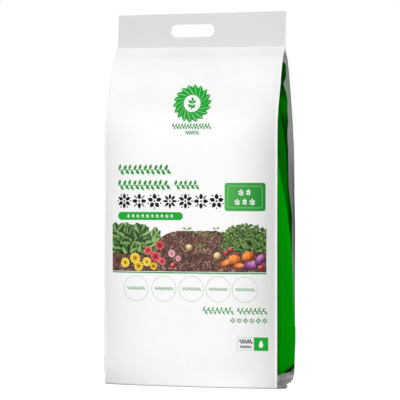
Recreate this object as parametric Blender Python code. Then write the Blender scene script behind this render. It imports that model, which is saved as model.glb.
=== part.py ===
"""A side-gusseted film bag, filled with compost and standing on its base.

One printed film tube makes the whole bag: a front and a back panel with a gusset folded in at each
side. It is welded flat along the top, where the wide header has a punched hand slot, and across the
bottom, where the weld is folded flat under the bag. Metres, +Z up, front to -Y.
"""

import math

import bmesh
import bpy

# The film tube and the size it fills out to
PANEL_WIDTH = 0.215  # front and back panels, from side crease to side crease
GUSSET_FILM = 0.090  # film across one gusset
DEPTH = 0.0885  # front panel to back panel at the side creases
BODY_HEIGHT = 0.407  # floor to the underside of the header
FILM = 0.0002
WELDED_LAYERS = 4  # front, back and the two halves of a gusset

# The header and its hand slot
HEADER_WIDTH = 0.212
HEADER_HEIGHT = 0.042
HEADER_SETBACK = 0.04675  # behind the front creases
SLOT_LENGTH = 0.055
SLOT_HEIGHT = 0.0156
SLOT_BELOW_TOP = 0.0213  # header's upper edge to the slot's middle
SLOT_OFFSET = -0.01  # the punch sits left of the middle

# How the fill shapes the film
SHOULDER_HEIGHT = 0.105  # the panels part over this height under the header
PANEL_CROWN = 0.015
GUSSET_CROWN = 0.0075
BASE_FRONT_RADIUS = 0.0025
BASE_BACK_RADIUS = 0.018
TUCK_HEIGHT = 0.026  # below this the gussets turn in under the bag
TUCK_DEPTH = 0.016

# The bottom weld, folded back flat under the base
FIN_WIDTH = 0.012
FIN_CLEARANCE = 0.0003  # between the folded weld and the film around it
FIN_END_INSET = 0.0015  # each end of the weld stops this far inside the side crease

# How finely the film is divided
PANEL_SEGMENTS = 28
GUSSET_FRONT_SEGMENTS = 10
GUSSET_BACK_SEGMENTS = 4
FLOOR_RINGS = 9
BODY_RINGS = 18
SHOULDER_RINGS = 20
SLOT_ARC_POINTS = 12
OVERCUT = 0.002

WELD = WELDED_LAYERS * FILM
FLAP = WELD + FIN_CLEARANCE + 2 * FILM  # base film with the folded weld under it
TOTAL_HEIGHT = BODY_HEIGHT + HEADER_HEIGHT
FRONT = -DEPTH / 2
HEADER_Y = FRONT + HEADER_SETBACK

# Down from the header, in shoulder heights: how far each panel has moved out from the header.
FRONT_PARTING = [(0.0, 0.0), (0.05, 0.03), (0.14, 0.31), (0.45, 0.60), (0.9, 0.955), (1.3, 0.98), (2.2, 1.0)]
BACK_PARTING = [(0.0, 0.0), (0.05, 0.03), (0.14, 0.22), (0.52, 0.55), (0.97, 0.82), (1.19, 0.93), (1.8, 1.0)]
# The same way down: the share of a gusset's film that lies in front of its crease.
CREASE_PLACE = [(0.0, 0.50), (0.4, 0.60), (0.8, 0.84), (1.1, 0.905), (1.9, 0.92), (3.5, 0.93)]
# The same way down: how much of a gusset's slack goes into that crease, not into a bulge.
CREASED = [(0.0, 1.0), (1.0, 0.9), (1.9, 0.75), (2.6, 0.25), (3.2, 0.0)]
# The share of the body's height above the floor: how far its fill crowns the panels.
CROWNING = [(0.0, 0.45), (0.12, 0.85), (0.4, 1.0), (0.7, 0.85), (0.88, 0.45), (1.0, 0.0)]

WHITE, GREEN, GREY = range(3)


def along(stations, at):
    """The value at one place on a smooth curve through the stations that never overshoots them."""
    if at <= stations[0][0]:
        return stations[0][1]
    if at >= stations[-1][0]:
        return stations[-1][1]
    spans = list(zip(stations, stations[1:]))
    slopes = [(b[1] - a[1]) / (b[0] - a[0]) for a, b in spans]
    turns = [2 * p * n / (p + n) if p * n > 0 else 0.0 for p, n in zip(slopes, slopes[1:])]
    turns = [slopes[0], *turns, slopes[-1]]
    for i, (a, b) in enumerate(spans):
        if at <= b[0]:
            run = b[0] - a[0]
            t = (at - a[0]) / run
            start = (1 + 2 * t) * (1 - t) ** 2 * a[1] + t * (1 - t) ** 2 * run * turns[i]
            return start + t * t * (3 - 2 * t) * b[1] + t * t * (t - 1) * run * turns[i + 1]


def rounding(height, radius):
    """How far a wall has turned in at this height where it meets the floor in an arc."""
    if height >= radius:
        return 0.0
    return radius - math.sqrt(radius**2 - (radius - height) ** 2)


def crease_of_gusset(drop, depth):
    """How far in a gusset's crease sits, and how far behind the front, for the film it has there."""
    film = depth + max(GUSSET_FILM - depth, 0.0) * along(CREASED, drop)
    front_film = along(CREASE_PLACE, drop) * film
    back_film = film - front_film
    behind = (front_film**2 - back_film**2 + depth**2) / (2 * depth)
    inset = math.sqrt(max(front_film**2 - behind**2, 0.0))
    return inset * min(1.0, drop / 0.3), min(max(behind, 0.02 * depth), 0.98 * depth)


def gusset_side(height, half_width, front_y, back_y):
    """Points along one gusset, corners left out, as (distance from the bag's middle, y)."""
    drop = (BODY_HEIGHT - height) / SHOULDER_HEIGHT
    inset, behind = crease_of_gusset(drop, back_y - front_y)
    crease = (half_width - inset, front_y + behind)
    bulge = GUSSET_CROWN * (1.15 - along(CREASED, drop)) * min(1.0, drop) ** 2
    low = max(0.0, 1 - (height - FLAP) / TUCK_HEIGHT)
    points = []
    for i in range(1, GUSSET_FRONT_SEGMENTS + GUSSET_BACK_SEGMENTS):
        t = i / GUSSET_FRONT_SEGMENTS
        if t <= 1:
            x = half_width + (crease[0] - half_width) * t + bulge * math.sin(math.pi * t) ** 1.5
            y = front_y + (crease[1] - front_y) * t
        else:
            t = (i - GUSSET_FRONT_SEGMENTS) / GUSSET_BACK_SEGMENTS
            x = crease[0] + (half_width - crease[0]) * t
            y = crease[1] + (back_y - crease[1]) * t
        place = (y - front_y) / (back_y - front_y)
        tuck = TUCK_DEPTH * low**2 * math.sin(math.pi * place) ** 0.8
        points.append((x - tuck if height > FLAP else half_width, y))
    return points


def panel_steps():
    """Places across a panel from -1 to 1, closest together where it rolls over to the creases."""
    even = [2 * i / PANEL_SEGMENTS - 1 for i in range(PANEL_SEGMENTS + 1)]
    return [s * (1.3 - 0.3 * s * s) for s in even]


def film_section(height):
    """The bag's closed outline at one height, anticlockwise from above, front left corner first."""
    drop = (BODY_HEIGHT - height) / SHOULDER_HEIGHT
    opened, opened_back = along(FRONT_PARTING, drop), along(BACK_PARTING, drop)
    half_width = (HEADER_WIDTH + (PANEL_WIDTH - HEADER_WIDTH) * opened) / 2
    half_width -= rounding(height, BASE_FRONT_RADIUS) / 2
    closed_front, closed_back = HEADER_Y - WELD / 2, HEADER_Y + WELD / 2
    front_y = closed_front + (FRONT - closed_front) * opened + rounding(height, BASE_FRONT_RADIUS)
    back_y = closed_back + (-FRONT - closed_back) * opened_back - rounding(height, BASE_BACK_RADIUS)
    crown = PANEL_CROWN * along(CROWNING, height / BODY_HEIGHT)

    steps = panel_steps()
    bow = [crown * (1 - abs(s) ** 5) for s in steps]
    front = [(s * half_width, front_y - b) for s, b in zip(steps, bow)]
    back = [(-s * half_width, back_y + b) for s, b in zip(steps, bow)]
    side = gusset_side(height, half_width, front_y, back_y)
    left = [(-x, y) for x, y in reversed(side)]
    return [(x, y, height) for x, y in front + side + back + left]


def header_section(height):
    """The header's thin outline with as many points, those of each gusset all at its edge."""
    half_width = HEADER_WIDTH / 2
    steps = panel_steps()
    front = [(s * half_width, HEADER_Y - WELD / 2) for s in steps]
    back = [(-s * half_width, HEADER_Y + WELD / 2) for s in steps]
    side = [(half_width, HEADER_Y)] * (GUSSET_FRONT_SEGMENTS + GUSSET_BACK_SEGMENTS - 1)
    left = [(-x, y) for x, y in side]
    return [(x, y, height) for x, y in front + side + back + left]


def section_heights():
    """Heights of the sections under the header, closest together at the floor and in the shoulder."""
    shoulder = BODY_HEIGHT - SHOULDER_HEIGHT
    low = FLAP + FIN_CLEARANCE
    floor = [low + (TUCK_HEIGHT - low) * (i / FLOOR_RINGS) ** 1.6 for i in range(FLOOR_RINGS)]
    rise = (shoulder - TUCK_HEIGHT) / BODY_RINGS
    body = [TUCK_HEIGHT + rise * i for i in range(BODY_RINGS)]
    top = [BODY_HEIGHT - SHOULDER_HEIGHT * (1 - i / SHOULDER_RINGS) ** 1.3 for i in range(SHOULDER_RINGS)]
    return [0.0, FLAP / 2, FLAP, *floor, *body, *top]


def colour_at(column, height):
    """Each gusset is printed green from its front corner back to its crease; the header is bare."""
    around = 2 * (PANEL_SEGMENTS + GUSSET_FRONT_SEGMENTS + GUSSET_BACK_SEGMENTS)
    right = PANEL_SEGMENTS <= column < PANEL_SEGMENTS + GUSSET_FRONT_SEGMENTS
    left = column >= around - GUSSET_FRONT_SEGMENTS
    if height >= BODY_HEIGHT:
        return GREY
    return GREEN if (right or left) and height > TUCK_HEIGHT / 2 else WHITE


def loft(name, sections):
    """A closed skin through sections that all have the same number of points."""
    mesh = bmesh.new()
    rings = [[mesh.verts.new(point) for point in section] for section in sections]
    for lower, upper in zip(rings, rings[1:]):
        for i in range(len(lower)):
            j = (i + 1) % len(lower)
            face = mesh.faces.new((lower[i], lower[j], upper[j], upper[i]))
            face.material_index = colour_at(i, lower[i].co.z)
    mesh.faces.new(list(reversed(rings[0])))
    mesh.faces.new(rings[-1]).material_index = GREY
    bmesh.ops.remove_doubles(mesh, verts=mesh.verts, dist=0.00001)
    bmesh.ops.recalc_face_normals(mesh, faces=mesh.faces)
    data = bpy.data.meshes.new(name)
    mesh.to_mesh(data)
    mesh.free()
    return bpy.data.objects.new(name, data)


def block(name, low, high):
    """A rectangular block between two corners."""
    mesh = bmesh.new()
    bmesh.ops.create_cube(mesh, size=1)
    size = [b - a for a, b in zip(low, high)]
    bmesh.ops.scale(mesh, vec=size, verts=mesh.verts)
    bmesh.ops.translate(mesh, vec=[(a + b) / 2 for a, b in zip(low, high)], verts=mesh.verts)
    data = bpy.data.meshes.new(name)
    mesh.to_mesh(data)
    mesh.free()
    return bpy.data.objects.new(name, data)


def slot_punch(collection):
    """The hand slot's outline as a flat curve, made a solid that runs through the header."""
    curve = bpy.data.curves.new("slot_outline", "CURVE")
    curve.dimensions = "2D"
    curve.fill_mode = "BOTH"
    curve.extrude = WELD / 2 + OVERCUT
    radius = SLOT_HEIGHT / 2
    reach = SLOT_LENGTH / 2 - radius
    outline = []
    for centre, start in ((reach, -90), (-reach, 90)):
        for i in range(SLOT_ARC_POINTS + 1):
            turn = math.radians(start + 180 * i / SLOT_ARC_POINTS)
            outline.append((centre + radius * math.cos(turn), radius * math.sin(turn)))
    spline = curve.splines.new("POLY")
    spline.points.add(len(outline) - 1)
    for point, (x, y) in zip(spline.points, outline):
        point.co = (x, y, 0, 1)
    spline.use_cyclic_u = True
    guide = bpy.data.objects.new("slot_outline", curve)
    guide.location = (SLOT_OFFSET, HEADER_Y, TOTAL_HEIGHT - SLOT_BELOW_TOP)
    guide.rotation_euler = (math.pi / 2, 0, 0)
    collection.objects.link(guide)
    bpy.context.view_layer.update()

    solid = bpy.data.meshes.new_from_object(guide.evaluated_get(bpy.context.evaluated_depsgraph_get()))
    mesh = bmesh.new()
    mesh.from_mesh(solid)
    bmesh.ops.remove_doubles(mesh, verts=mesh.verts, dist=0.00001)
    bmesh.ops.recalc_face_normals(mesh, faces=mesh.faces)
    mesh.to_mesh(solid)
    mesh.free()
    punch = bpy.data.objects.new("slot_punch", solid)
    punch.matrix_world = guide.matrix_world
    bpy.data.objects.remove(guide)
    return punch


def bottom_weld():
    """The channel that the weld presses into the base, the folded weld, and the fold that hangs it."""
    reach = PANEL_WIDTH / 2 - FIN_END_INSET
    roof = WELD + FIN_CLEARANCE
    channel = block(
        "weld_channel",
        (-PANEL_WIDTH, -FIN_CLEARANCE, -OVERCUT),
        (PANEL_WIDTH, FIN_WIDTH + FIN_CLEARANCE, roof),
    )
    fin = block("weld_fin", (-reach, 0, 0), (reach, FIN_WIDTH, WELD))
    fold_reach = reach - BASE_FRONT_RADIUS / 2
    fold = block("weld_fold", (-fold_reach, 0, WELD / 2), (fold_reach, WELD, roof + FILM))
    return channel, fin, fold


def plastic(name, colour, roughness):
    material = bpy.data.materials.new(name)
    material.use_nodes = True
    shader = material.node_tree.nodes["Principled BSDF"]
    shader.inputs["Base Color"].default_value = (*colour, 1)
    shader.inputs["Roughness"].default_value = roughness
    material.diffuse_color = (*colour, 1)
    return material


def apply_tool(bag, tool, operation, collection):
    collection.objects.link(tool)
    tool.hide_render = True
    tool.display_type = "WIRE"
    step = bag.modifiers.new(tool.name, "BOOLEAN")
    step.operation = operation
    step.object = tool
    step.solver = "EXACT"


def build():
    for old in list(bpy.data.objects):
        bpy.data.objects.remove(old)
    parts = bpy.data.collections.new("compost_bag")
    cutters = bpy.data.collections.new("cutters")
    for collection in (parts, cutters):
        bpy.context.scene.collection.children.link(collection)

    sections = [film_section(height) for height in section_heights()]
    sections += [header_section(BODY_HEIGHT), header_section(TOTAL_HEIGHT)]
    bag = loft("bag", sections)
    bag.data.materials.append(plastic("white_film", (0.90, 0.90, 0.90), 0.35))
    bag.data.materials.append(plastic("green_print", (0.005, 0.27, 0.01), 0.35))
    bag.data.materials.append(plastic("bare_grey_film", (0.73, 0.73, 0.73), 0.4))
    bag.data.shade_smooth()
    bag.data.set_sharp_from_angle(angle=math.radians(35))
    parts.objects.link(bag)

    channel, fin, fold = bottom_weld()
    apply_tool(bag, slot_punch(cutters), "DIFFERENCE", cutters)
    apply_tool(bag, channel, "DIFFERENCE", cutters)
    apply_tool(bag, fin, "UNION", cutters)
    apply_tool(bag, fold, "UNION", cutters)


build()
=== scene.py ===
"""A printed film bag of compost with side gussets, a welded header and a punched hand slot.

Metres, +Z up. The bag stands on its base with its front to -Y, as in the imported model.
"""

import math
import random

import bmesh
import bpy
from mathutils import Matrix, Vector, noise


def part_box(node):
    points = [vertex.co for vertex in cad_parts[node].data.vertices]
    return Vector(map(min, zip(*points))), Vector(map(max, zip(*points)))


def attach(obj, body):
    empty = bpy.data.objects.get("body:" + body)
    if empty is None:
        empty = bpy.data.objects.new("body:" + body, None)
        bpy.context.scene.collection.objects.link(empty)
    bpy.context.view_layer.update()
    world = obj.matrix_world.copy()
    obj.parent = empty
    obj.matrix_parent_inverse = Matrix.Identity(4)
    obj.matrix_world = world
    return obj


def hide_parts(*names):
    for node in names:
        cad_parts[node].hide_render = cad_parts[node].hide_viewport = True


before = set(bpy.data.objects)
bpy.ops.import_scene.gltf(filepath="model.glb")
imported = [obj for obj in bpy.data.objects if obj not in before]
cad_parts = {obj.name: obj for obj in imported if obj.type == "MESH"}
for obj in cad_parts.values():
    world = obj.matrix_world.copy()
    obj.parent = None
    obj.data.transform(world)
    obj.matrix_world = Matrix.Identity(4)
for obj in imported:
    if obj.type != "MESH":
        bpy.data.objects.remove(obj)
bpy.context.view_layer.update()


# The filled film tube. One piece of blown polyethylene film makes the front, the back and a gusset
# at each side. The fill rounds it out, and its slack goes into a crease high in each gusset and
# into a bulge lower down, where the gusset turns in under the bag.
MM = 0.001
total_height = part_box("bag")[1].z
panel_width = 215 * MM
gusset_film = 90 * MM
depth = 88.5 * MM
body_height = 407 * MM
header_width = 212 * MM
shoulder_height = 105 * MM
weld_thickness = 0.8 * MM
front_y = -depth / 2
header_y = 2.5 * MM
panel_crown = 15 * MM
gusset_crown = 7.5 * MM
crease_radius = 1.0 * MM
tuck_depth = 16 * MM
base_front_radius, base_back_radius = 2.5 * MM, 18 * MM
flap = 3.5 * MM
flap_overhang = 10.0 * MM
lip_reach = [(0.0, 0.0), (0.05, 0.55), (0.12, 1.0), (0.2, 0.95), (0.34, 0.5), (0.5, 0.36), (0.8, 0.0)]

front_parting = [(0.0, 0.0), (0.05, 0.12), (0.14, 0.31), (0.45, 0.60), (0.9, 0.955), (1.3, 0.98), (2.2, 1.0)]
back_parting = [(0.0, 0.0), (0.05, 0.03), (0.14, 0.22), (0.52, 0.55), (0.97, 0.82), (1.19, 0.93), (1.8, 1.0)]
crease_place = [(0.0, 0.50), (0.4, 0.60), (0.8, 0.84), (1.1, 0.905), (1.9, 0.92), (3.5, 0.93)]
creased = [(0.0, 1.0), (1.0, 0.9), (1.9, 0.75), (2.6, 0.25), (3.2, 0.0)]
crowning = [(0.0, 0.55), (0.12, 0.85), (0.4, 1.0), (0.7, 0.85), (0.88, 0.45), (1.0, 0.0)]
fullness = [(0.0, 2.6), (0.12, 3.4), (0.3, 5.0), (1.0, 5.0)]


def along(stations, at):
    """The value at one place on a smooth curve through the stations that never overshoots them."""
    if at <= stations[0][0]:
        return stations[0][1]
    if at >= stations[-1][0]:
        return stations[-1][1]
    spans = list(zip(stations, stations[1:]))
    slopes = [(b[1] - a[1]) / (b[0] - a[0]) for a, b in spans]
    turns = [2 * p * n / (p + n) if p * n > 0 else 0.0 for p, n in zip(slopes, slopes[1:])]
    turns = [slopes[0], *turns, slopes[-1]]
    for i, (a, b) in enumerate(spans):
        if at <= b[0]:
            run = b[0] - a[0]
            t = (at - a[0]) / run
            start = (1 + 2 * t) * (1 - t) ** 2 * a[1] + t * (1 - t) ** 2 * run * turns[i]
            return start + t * t * (3 - 2 * t) * b[1] + t * t * (t - 1) * run * turns[i + 1]


def ease(low, high, value):
    """0 below low, 1 above high, smooth between."""
    t = min(max((value - low) / (high - low), 0.0), 1.0)
    return t * t * (3 - 2 * t)


def rounding(height, radius):
    """How far a wall has turned in at this height where it meets the floor in an arc."""
    if height >= radius:
        return 0.0
    return radius - math.sqrt(radius**2 - (radius - height) ** 2)


class Level:
    """The bag's corners at one height, and what its gussets do there."""

    def __init__(self, z):
        self.z = z
        self.drop = (body_height - z) / shoulder_height
        opened = along(front_parting, self.drop)
        opened_back = along(back_parting, self.drop)
        self.half = (header_width + (panel_width - header_width) * opened) / 2
        self.half -= rounding(z, base_front_radius) / 2
        closed_front, closed_back = header_y - weld_thickness / 2, header_y + weld_thickness / 2
        self.front = closed_front + (front_y - closed_front) * opened + rounding(z, base_front_radius)
        self.back = closed_back + (front_y + depth - closed_back) * opened_back
        self.back -= rounding(z, base_back_radius)
        self.back_half = self.half - 0.15 * rounding(z, base_back_radius)
        self.back_half += 0.7 * MM * ease(14 * MM, 45 * MM, z) * (1 - ease(185 * MM, 235 * MM, z))
        self.crown = panel_crown * along(crowning, z / body_height)
        self.fullness = along(fullness, z / body_height)
        gap = self.back - self.front
        slack = along(creased, self.drop)
        film = gap + max(gusset_film - gap, 0.0) * slack
        self.place = along(crease_place, self.drop)
        front_film, back_film = self.place * film, (1 - self.place) * film
        behind = (front_film**2 - back_film**2 + gap**2) / (2 * gap)
        inset = math.sqrt(max(front_film**2 - behind**2, 0.0)) * min(1.0, self.drop / 0.3)
        behind = min(max(behind, 0.1 * gap), 0.9 * gap)
        self.crease = (self.half - inset, self.front + behind)
        self.bulge = gusset_crown * (1.15 - slack) * min(1.0, self.drop) ** 2
        self.right_bulge = self.bulge + 1.8 * MM * math.exp(-(((z - 55 * MM) / (32 * MM)) ** 2))


def film_wrinkles(x, z, depth):
    """Soft pleats that run down from the header weld, and the unevenness of the fill under the film."""
    under_header = body_height - z
    pleats = depth * math.sin(x / (17 * MM) + 2.6) + 0.22 * depth * math.sin(x / (5.6 * MM))
    pleats *= ease(0.0, 14 * MM, under_header) * math.exp(-((under_header / (60 * MM)) ** 2))
    place = Vector((x * 11, 3.1, z * 8))
    lumps = 0.7 * MM * noise.noise(place) + 0.16 * MM * noise.noise(place * 4)
    fade = ease(0.0, 60 * MM, under_header) * ease(0.0, 40 * MM, z)
    return pleats + lumps * fade


def front_point(s, level):
    """A point on the front, s from -1 at the left crease to 1 at the right one."""
    x = s * (level.half - crease_radius)
    bow = level.crown * (1 - abs(s) ** level.fullness)
    edge = min(1.0, (1 - abs(s)) / 0.06)
    return Vector((x, level.front - bow - film_wrinkles(x, level.z, 1.6 * MM) * edge, level.z))


def back_point(s, level):
    """A point on the back, with the lap seam that closes the tube along its middle."""
    x = s * (level.back_half - crease_radius)
    bow = level.crown * (1 - abs(s) ** 5)
    edge = min(1.0, (1 - abs(s)) / 0.06)
    lap = 0.25 * MM * ease(-5.2 * MM, -5.0 * MM, x) * (1 - ease(5.0 * MM, 5.2 * MM, x))
    lap *= ease(0.0, 30 * MM, level.z)
    return Vector((x, level.back + bow + lap + film_wrinkles(-x - 0.3, level.z, 0.6 * MM) * edge, level.z))


def gusset_point(share, level, side=1):
    """A point on a gusset, share from 0 at its front crease to 1 at its back one, x always positive."""
    z = level.z
    if share <= level.place:
        t = share / level.place
        bulge = level.right_bulge if side > 0 else level.bulge
        x = level.half + (level.crease[0] - level.half) * t + bulge * math.sin(math.pi * t) ** 1.5
        y = level.front + (level.crease[1] - level.front) * t
    else:
        t = (share - level.place) / (1 - level.place)
        x = level.crease[0] + (level.back_half - level.crease[0]) * t
        y = level.crease[1] + (level.back - level.crease[1]) * t
    within = math.sin(math.pi * share)
    fold_line = (264 - 99 * share / 0.83) * MM
    under_fold = 1 - ease(-7 * MM, 3 * MM, z - fold_line)
    x += 1.8 * MM * under_fold * within * ease(0.0, 60 * MM, z)
    place = Vector((7.7, y * 14, z * 10))
    x += within * min(1.0, level.drop) * (1.0 * MM * noise.noise(place) + 0.3 * MM * noise.noise(place * 3.5))
    tuck_top = (17 + 9 * share) * MM
    low = max(0.0, (tuck_top - z) / (tuck_top - flap))
    x -= tuck_depth * low**1.15 * within**0.8
    if z <= flap + 0.8 * MM:
        lip = (flap_overhang if side > 0 else 0.1 * flap_overhang) * along(lip_reach, share)
        lip *= 1 - ease(flap - 0.6 * MM, flap + 0.8 * MM, z)
        x = level.half + (level.back_half - level.half) * share + lip
    return Vector((x, y, z))


FRONT_COLUMNS, BACK_COLUMNS, GUSSET_COLUMNS, VALLEY_COLUMN = 88, 66, 54, 40
on_arc = 0.29  # how far in from a square corner the middle of a round one lies, in radii


def gusset_shares(level):
    """The gusset's columns as shares of its film, with one column right in the valley."""
    before, after = VALLEY_COLUMN, GUSSET_COLUMNS - VALLEY_COLUMN
    front_side = [level.place * i / before for i in range(before)]
    return front_side + [level.place + (1 - level.place) * i / after for i in range(after + 1)]


def film_ring(z):
    """The outline at one height, anticlockwise from above, starting at the front's left crease.

    Under the header the rings tilt, because its weld isn't square to the bag.
    """
    level = Level(z)
    radius = min(crease_radius, (level.back - level.front) / 2)
    ring = [front_point(2 * i / FRONT_COLUMNS - 1, level) for i in range(FRONT_COLUMNS + 1)]
    gussets = {}
    for side in (1, -1):
        gussets[side] = []
        for i, share in enumerate(gusset_shares(level)):
            point = gusset_point(share, level, side)
            ends = (radius if i == 0 else 0.0) - (radius if i == GUSSET_COLUMNS else 0.0)
            gussets[side].append(Vector((side * point.x, point.y + ends, z)))
    back_x, back_y = level.back_half - on_arc * crease_radius, level.back - on_arc * radius
    ring += [Vector((level.half + 0.1 * crease_radius, level.front + 0.15 * radius, z)), *gussets[1]]
    ring += [Vector((back_x, back_y, z))]
    ring += [back_point(1 - 2 * i / BACK_COLUMNS, level) for i in range(BACK_COLUMNS + 1)]
    ring += [Vector((-back_x, back_y, z)), *reversed(gussets[-1])]
    ring += [Vector((on_arc * crease_radius - level.half, level.front + on_arc * radius, z))]
    under_weld = ease(body_height - 12 * MM, body_height, z)
    for point in ring:
        point.z += (0.65 - 0.85 * point.x / (0.5 * header_width)) * MM * under_weld
    return ring


def film_heights():
    """Heights of the rings, closest together at the floor, in the shoulder and under the weld."""
    low = flap + 1.0 * MM
    floor = [low + (30 * MM - low) * (i / 22) ** 1.3 for i in range(22)]
    body = [30 * MM + (290 - 30) * MM * i / 96 for i in range(96)]
    top = [body_height - (body_height - 290 * MM) * (1 - i / 84) ** 1.3 for i in range(85)]
    return [0.0, 0.6 * MM, 1.6 * MM, 2.6 * MM, 3.2 * MM, 3.7 * MM, 4.1 * MM, *floor, *body, *top]


def linear(code):
    """An sRGB hex colour as the linear values that a shader takes."""
    parts = [int(code[i : i + 2], 16) / 255 for i in (1, 3, 5)]
    return (*[c / 12.92 if c <= 0.04045 else ((c + 0.055) / 1.055) ** 2.4 for c in parts], 1.0)


def node(tree, kind, settings=None, **inputs):
    """Adds a node, with settings by name, and inputs by name: a value, or an output socket to link."""
    made = tree.nodes.new(kind)
    for name, value in (settings or {}).items():
        setattr(made, name, value)
    for name, value in inputs.items():
        key = int(name[1:]) if name[0] == "_" else name.replace("_", " ")
        if isinstance(value, bpy.types.NodeSocket):
            tree.links.new(value, made.inputs[key])
        else:
            made.inputs[key].default_value = value
    return made


def film_finish(name, colour, darker, roughness=0.5, gloss=0.25, mottle_mm=9.0, toned=False):
    """Satin polyethylene film: its colour clouds a little, and fine crinkles break up its gloss.

    Where it is toned, the mesh's tone attribute darkens it with painted shade.
    """
    material = bpy.data.materials.new(name)
    material.use_nodes = True
    tree = material.node_tree
    shader = tree.nodes["Principled BSDF"]
    place = node(tree, "ShaderNodeTexCoord").outputs["Object"]
    cloud = node(tree, "ShaderNodeTexNoise", Vector=place, Scale=1 / (mottle_mm * MM), Detail=3.0)
    mixed = node(tree, "ShaderNodeMix", {"data_type": "RGBA"}, Factor=cloud.outputs["Fac"])
    mixed.inputs[6].default_value = linear(darker)
    mixed.inputs[7].default_value = linear(colour)
    tree.links.new(mixed.outputs[2], shader.inputs["Base Color"])
    # Painted shade: the tone attribute scales the base colour.
    if toned:
        tone = node(tree, "ShaderNodeAttribute", {"attribute_name": "tone"}).outputs["Fac"]
        scale = {"operation": "SCALE"}
        dimmed = node(tree, "ShaderNodeVectorMath", scale, Vector=mixed.outputs[2], Scale=tone)
        tree.links.new(dimmed.outputs[0], shader.inputs["Base Color"])
    crinkle = node(tree, "ShaderNodeTexNoise", Vector=place, Scale=1 / (3.5 * MM), Detail=2.0)
    bump = node(tree, "ShaderNodeBump", Strength=0.12, Distance=0.2 * MM, Height=crinkle.outputs["Fac"])
    tree.links.new(bump.outputs["Normal"], shader.inputs["Normal"])
    shader.inputs["Roughness"].default_value = roughness
    shader.inputs["IOR"].default_value = 1.51
    shader.inputs["Specular IOR Level"].default_value = gloss
    return material


# Painted shade: how much the white film is greyed, by distance in mm inside a crease.
painted_shade_near_crease = [
    (1.2, 0.0), (2.4, 0.14), (4, 0.16), (12, 0.135), (20, 0.11), (29, 0.075), (47, 0.03), (62, 0.0),
]
# Painted shade: how pale the bare film is, by height in mm.
painted_bare_shade_by_height = [
    (0, 0.29), (3.5, 0.29), (6, 0.66), (8.5, 0.82), (11, 0.58), (14, 0.38), (24, 0.38),
    (40, 0.32), (60, 0.24), (200, 0.24), (240, 0.42), (290, 0.95), (330, 1.0),
]


def white_film_painted_shade(x, z):
    """How pale the white film is: painted shade greys it near its creases and at its foot."""
    inwards = (Level(z).half - abs(x)) / MM
    painted_crease_shade = along(painted_shade_near_crease, inwards)
    painted_crease_shade *= (1 - ease(265 * MM, 350 * MM, z)) * (0.75 if x < 0 else 1.0)
    aside = -x / Level(z).half
    painted_foot_shade = (0.18 if x < 0 else 0.1 * (1 - 2.4 * aside**6)) * aside * (1 - ease(0.0, 31 * MM, z))
    return 1 - painted_crease_shade - painted_foot_shade


def bare_film_painted_shade(y, z):
    """How pale the bare film is: painted shade, pale high up and darker low down and at its foot, and a
    painted shadow under the turned-in gusset.
    """
    painted_shadow_under_turn = ease(-22 * MM, 0.0, y) * ease(7 * MM, 13 * MM, z) * (1 - ease(24 * MM, 34 * MM, z))
    return along(painted_bare_shade_by_height, z / MM) * (1 - 0.5 * painted_shadow_under_turn)


weld_width, weld_clearance = 12 * MM, 0.3 * MM
weld_reach = panel_width / 2 - 4 * MM
channel_depth = weld_thickness + weld_clearance


def placed(name, data):
    """Puts a mesh, a curve, a lamp or a camera in the scene as an object."""
    made = bpy.data.objects.new(name, data)
    bpy.context.scene.collection.objects.link(made)
    return made


def finished(mesh, name):
    """Turns a bmesh into mesh data."""
    data = bpy.data.meshes.new(name)
    mesh.to_mesh(data)
    mesh.free()
    return data


def cut(mesh, axis, place, drop_beyond=0, faces=None):
    """Cuts a mesh, or only the faces given, across an axis, and drops what lies on one side where asked."""
    at, direction = [0.0, 0.0, 0.0], [0.0, 0.0, 0.0]
    at[axis], direction[axis] = place, 1.0
    geom = mesh.verts[:] + mesh.edges[:] + mesh.faces[:]
    if faces:
        geom = list(dict.fromkeys(part for face in faces for part in (face, *face.verts, *face.edges)))
    bmesh.ops.bisect_plane(
        mesh,
        geom=geom,
        plane_co=at,
        plane_no=direction,
        clear_outer=drop_beyond > 0,
        clear_inner=drop_beyond < 0,
    )


def base_faces(mesh):
    return [face for face in mesh.faces if all(vertex.co.z == 0 for vertex in face.verts)]


def press_channel(mesh):
    """Sinks the channel that the folded bottom weld presses into the base, just wide enough for it."""
    reach, back = weld_reach + weld_clearance, weld_width + weld_clearance
    for axis, place in ((0, -reach), (0, reach), (1, -weld_clearance), (1, back)):
        cut(mesh, axis, place, faces=base_faces(mesh))
    middle = Vector((0, weld_width / 2, 0))
    under_weld = min(base_faces(mesh), key=lambda face: (face.calc_center_median() - middle).length)
    roof = bmesh.ops.extrude_discrete_faces(mesh, faces=[under_weld])["faces"][0]
    bmesh.ops.translate(mesh, verts=roof.verts, vec=(0, 0, channel_depth))


def film_mesh():
    mesh = bmesh.new()
    rings = [[mesh.verts.new(point) for point in film_ring(z)] for z in film_heights()]
    front_end = FRONT_COLUMNS + 1
    gusset_end = front_end + 1 + GUSSET_COLUMNS
    back_end = gusset_end + 2 + BACK_COLUMNS
    for lower, upper in zip(rings, rings[1:]):
        for i in range(len(lower)):
            j = (i + 1) % len(lower)
            face = mesh.faces.new((lower[i], lower[j], upper[j], upper[i]))
            edge = 1 if lower[i].co.z > flap + MM else 0
            right = front_end + edge < i < gusset_end - edge
            left = back_end + edge < i < len(lower) - 2 - edge
            face.material_index = 1 if right or left else 0
            face.smooth = True
    mesh.faces.new(list(reversed(rings[0])))
    mesh.faces.new(rings[-1])
    press_channel(mesh)
    bmesh.ops.recalc_face_normals(mesh, faces=mesh.faces)
    data = finished(mesh, "bag_film")
    # The tone attribute holds painted shade on both films.
    tones = data.attributes.new("tone", "FLOAT", "CORNER").data
    for face in data.polygons:
        for corner in face.loop_indices:
            place = data.vertices[data.loops[corner].vertex_index].co
            bare = face.material_index == 1
            tones[corner].value = bare_film_painted_shade(place.y, place.z) if bare else white_film_painted_shade(place.x, place.z)
    return data


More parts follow.
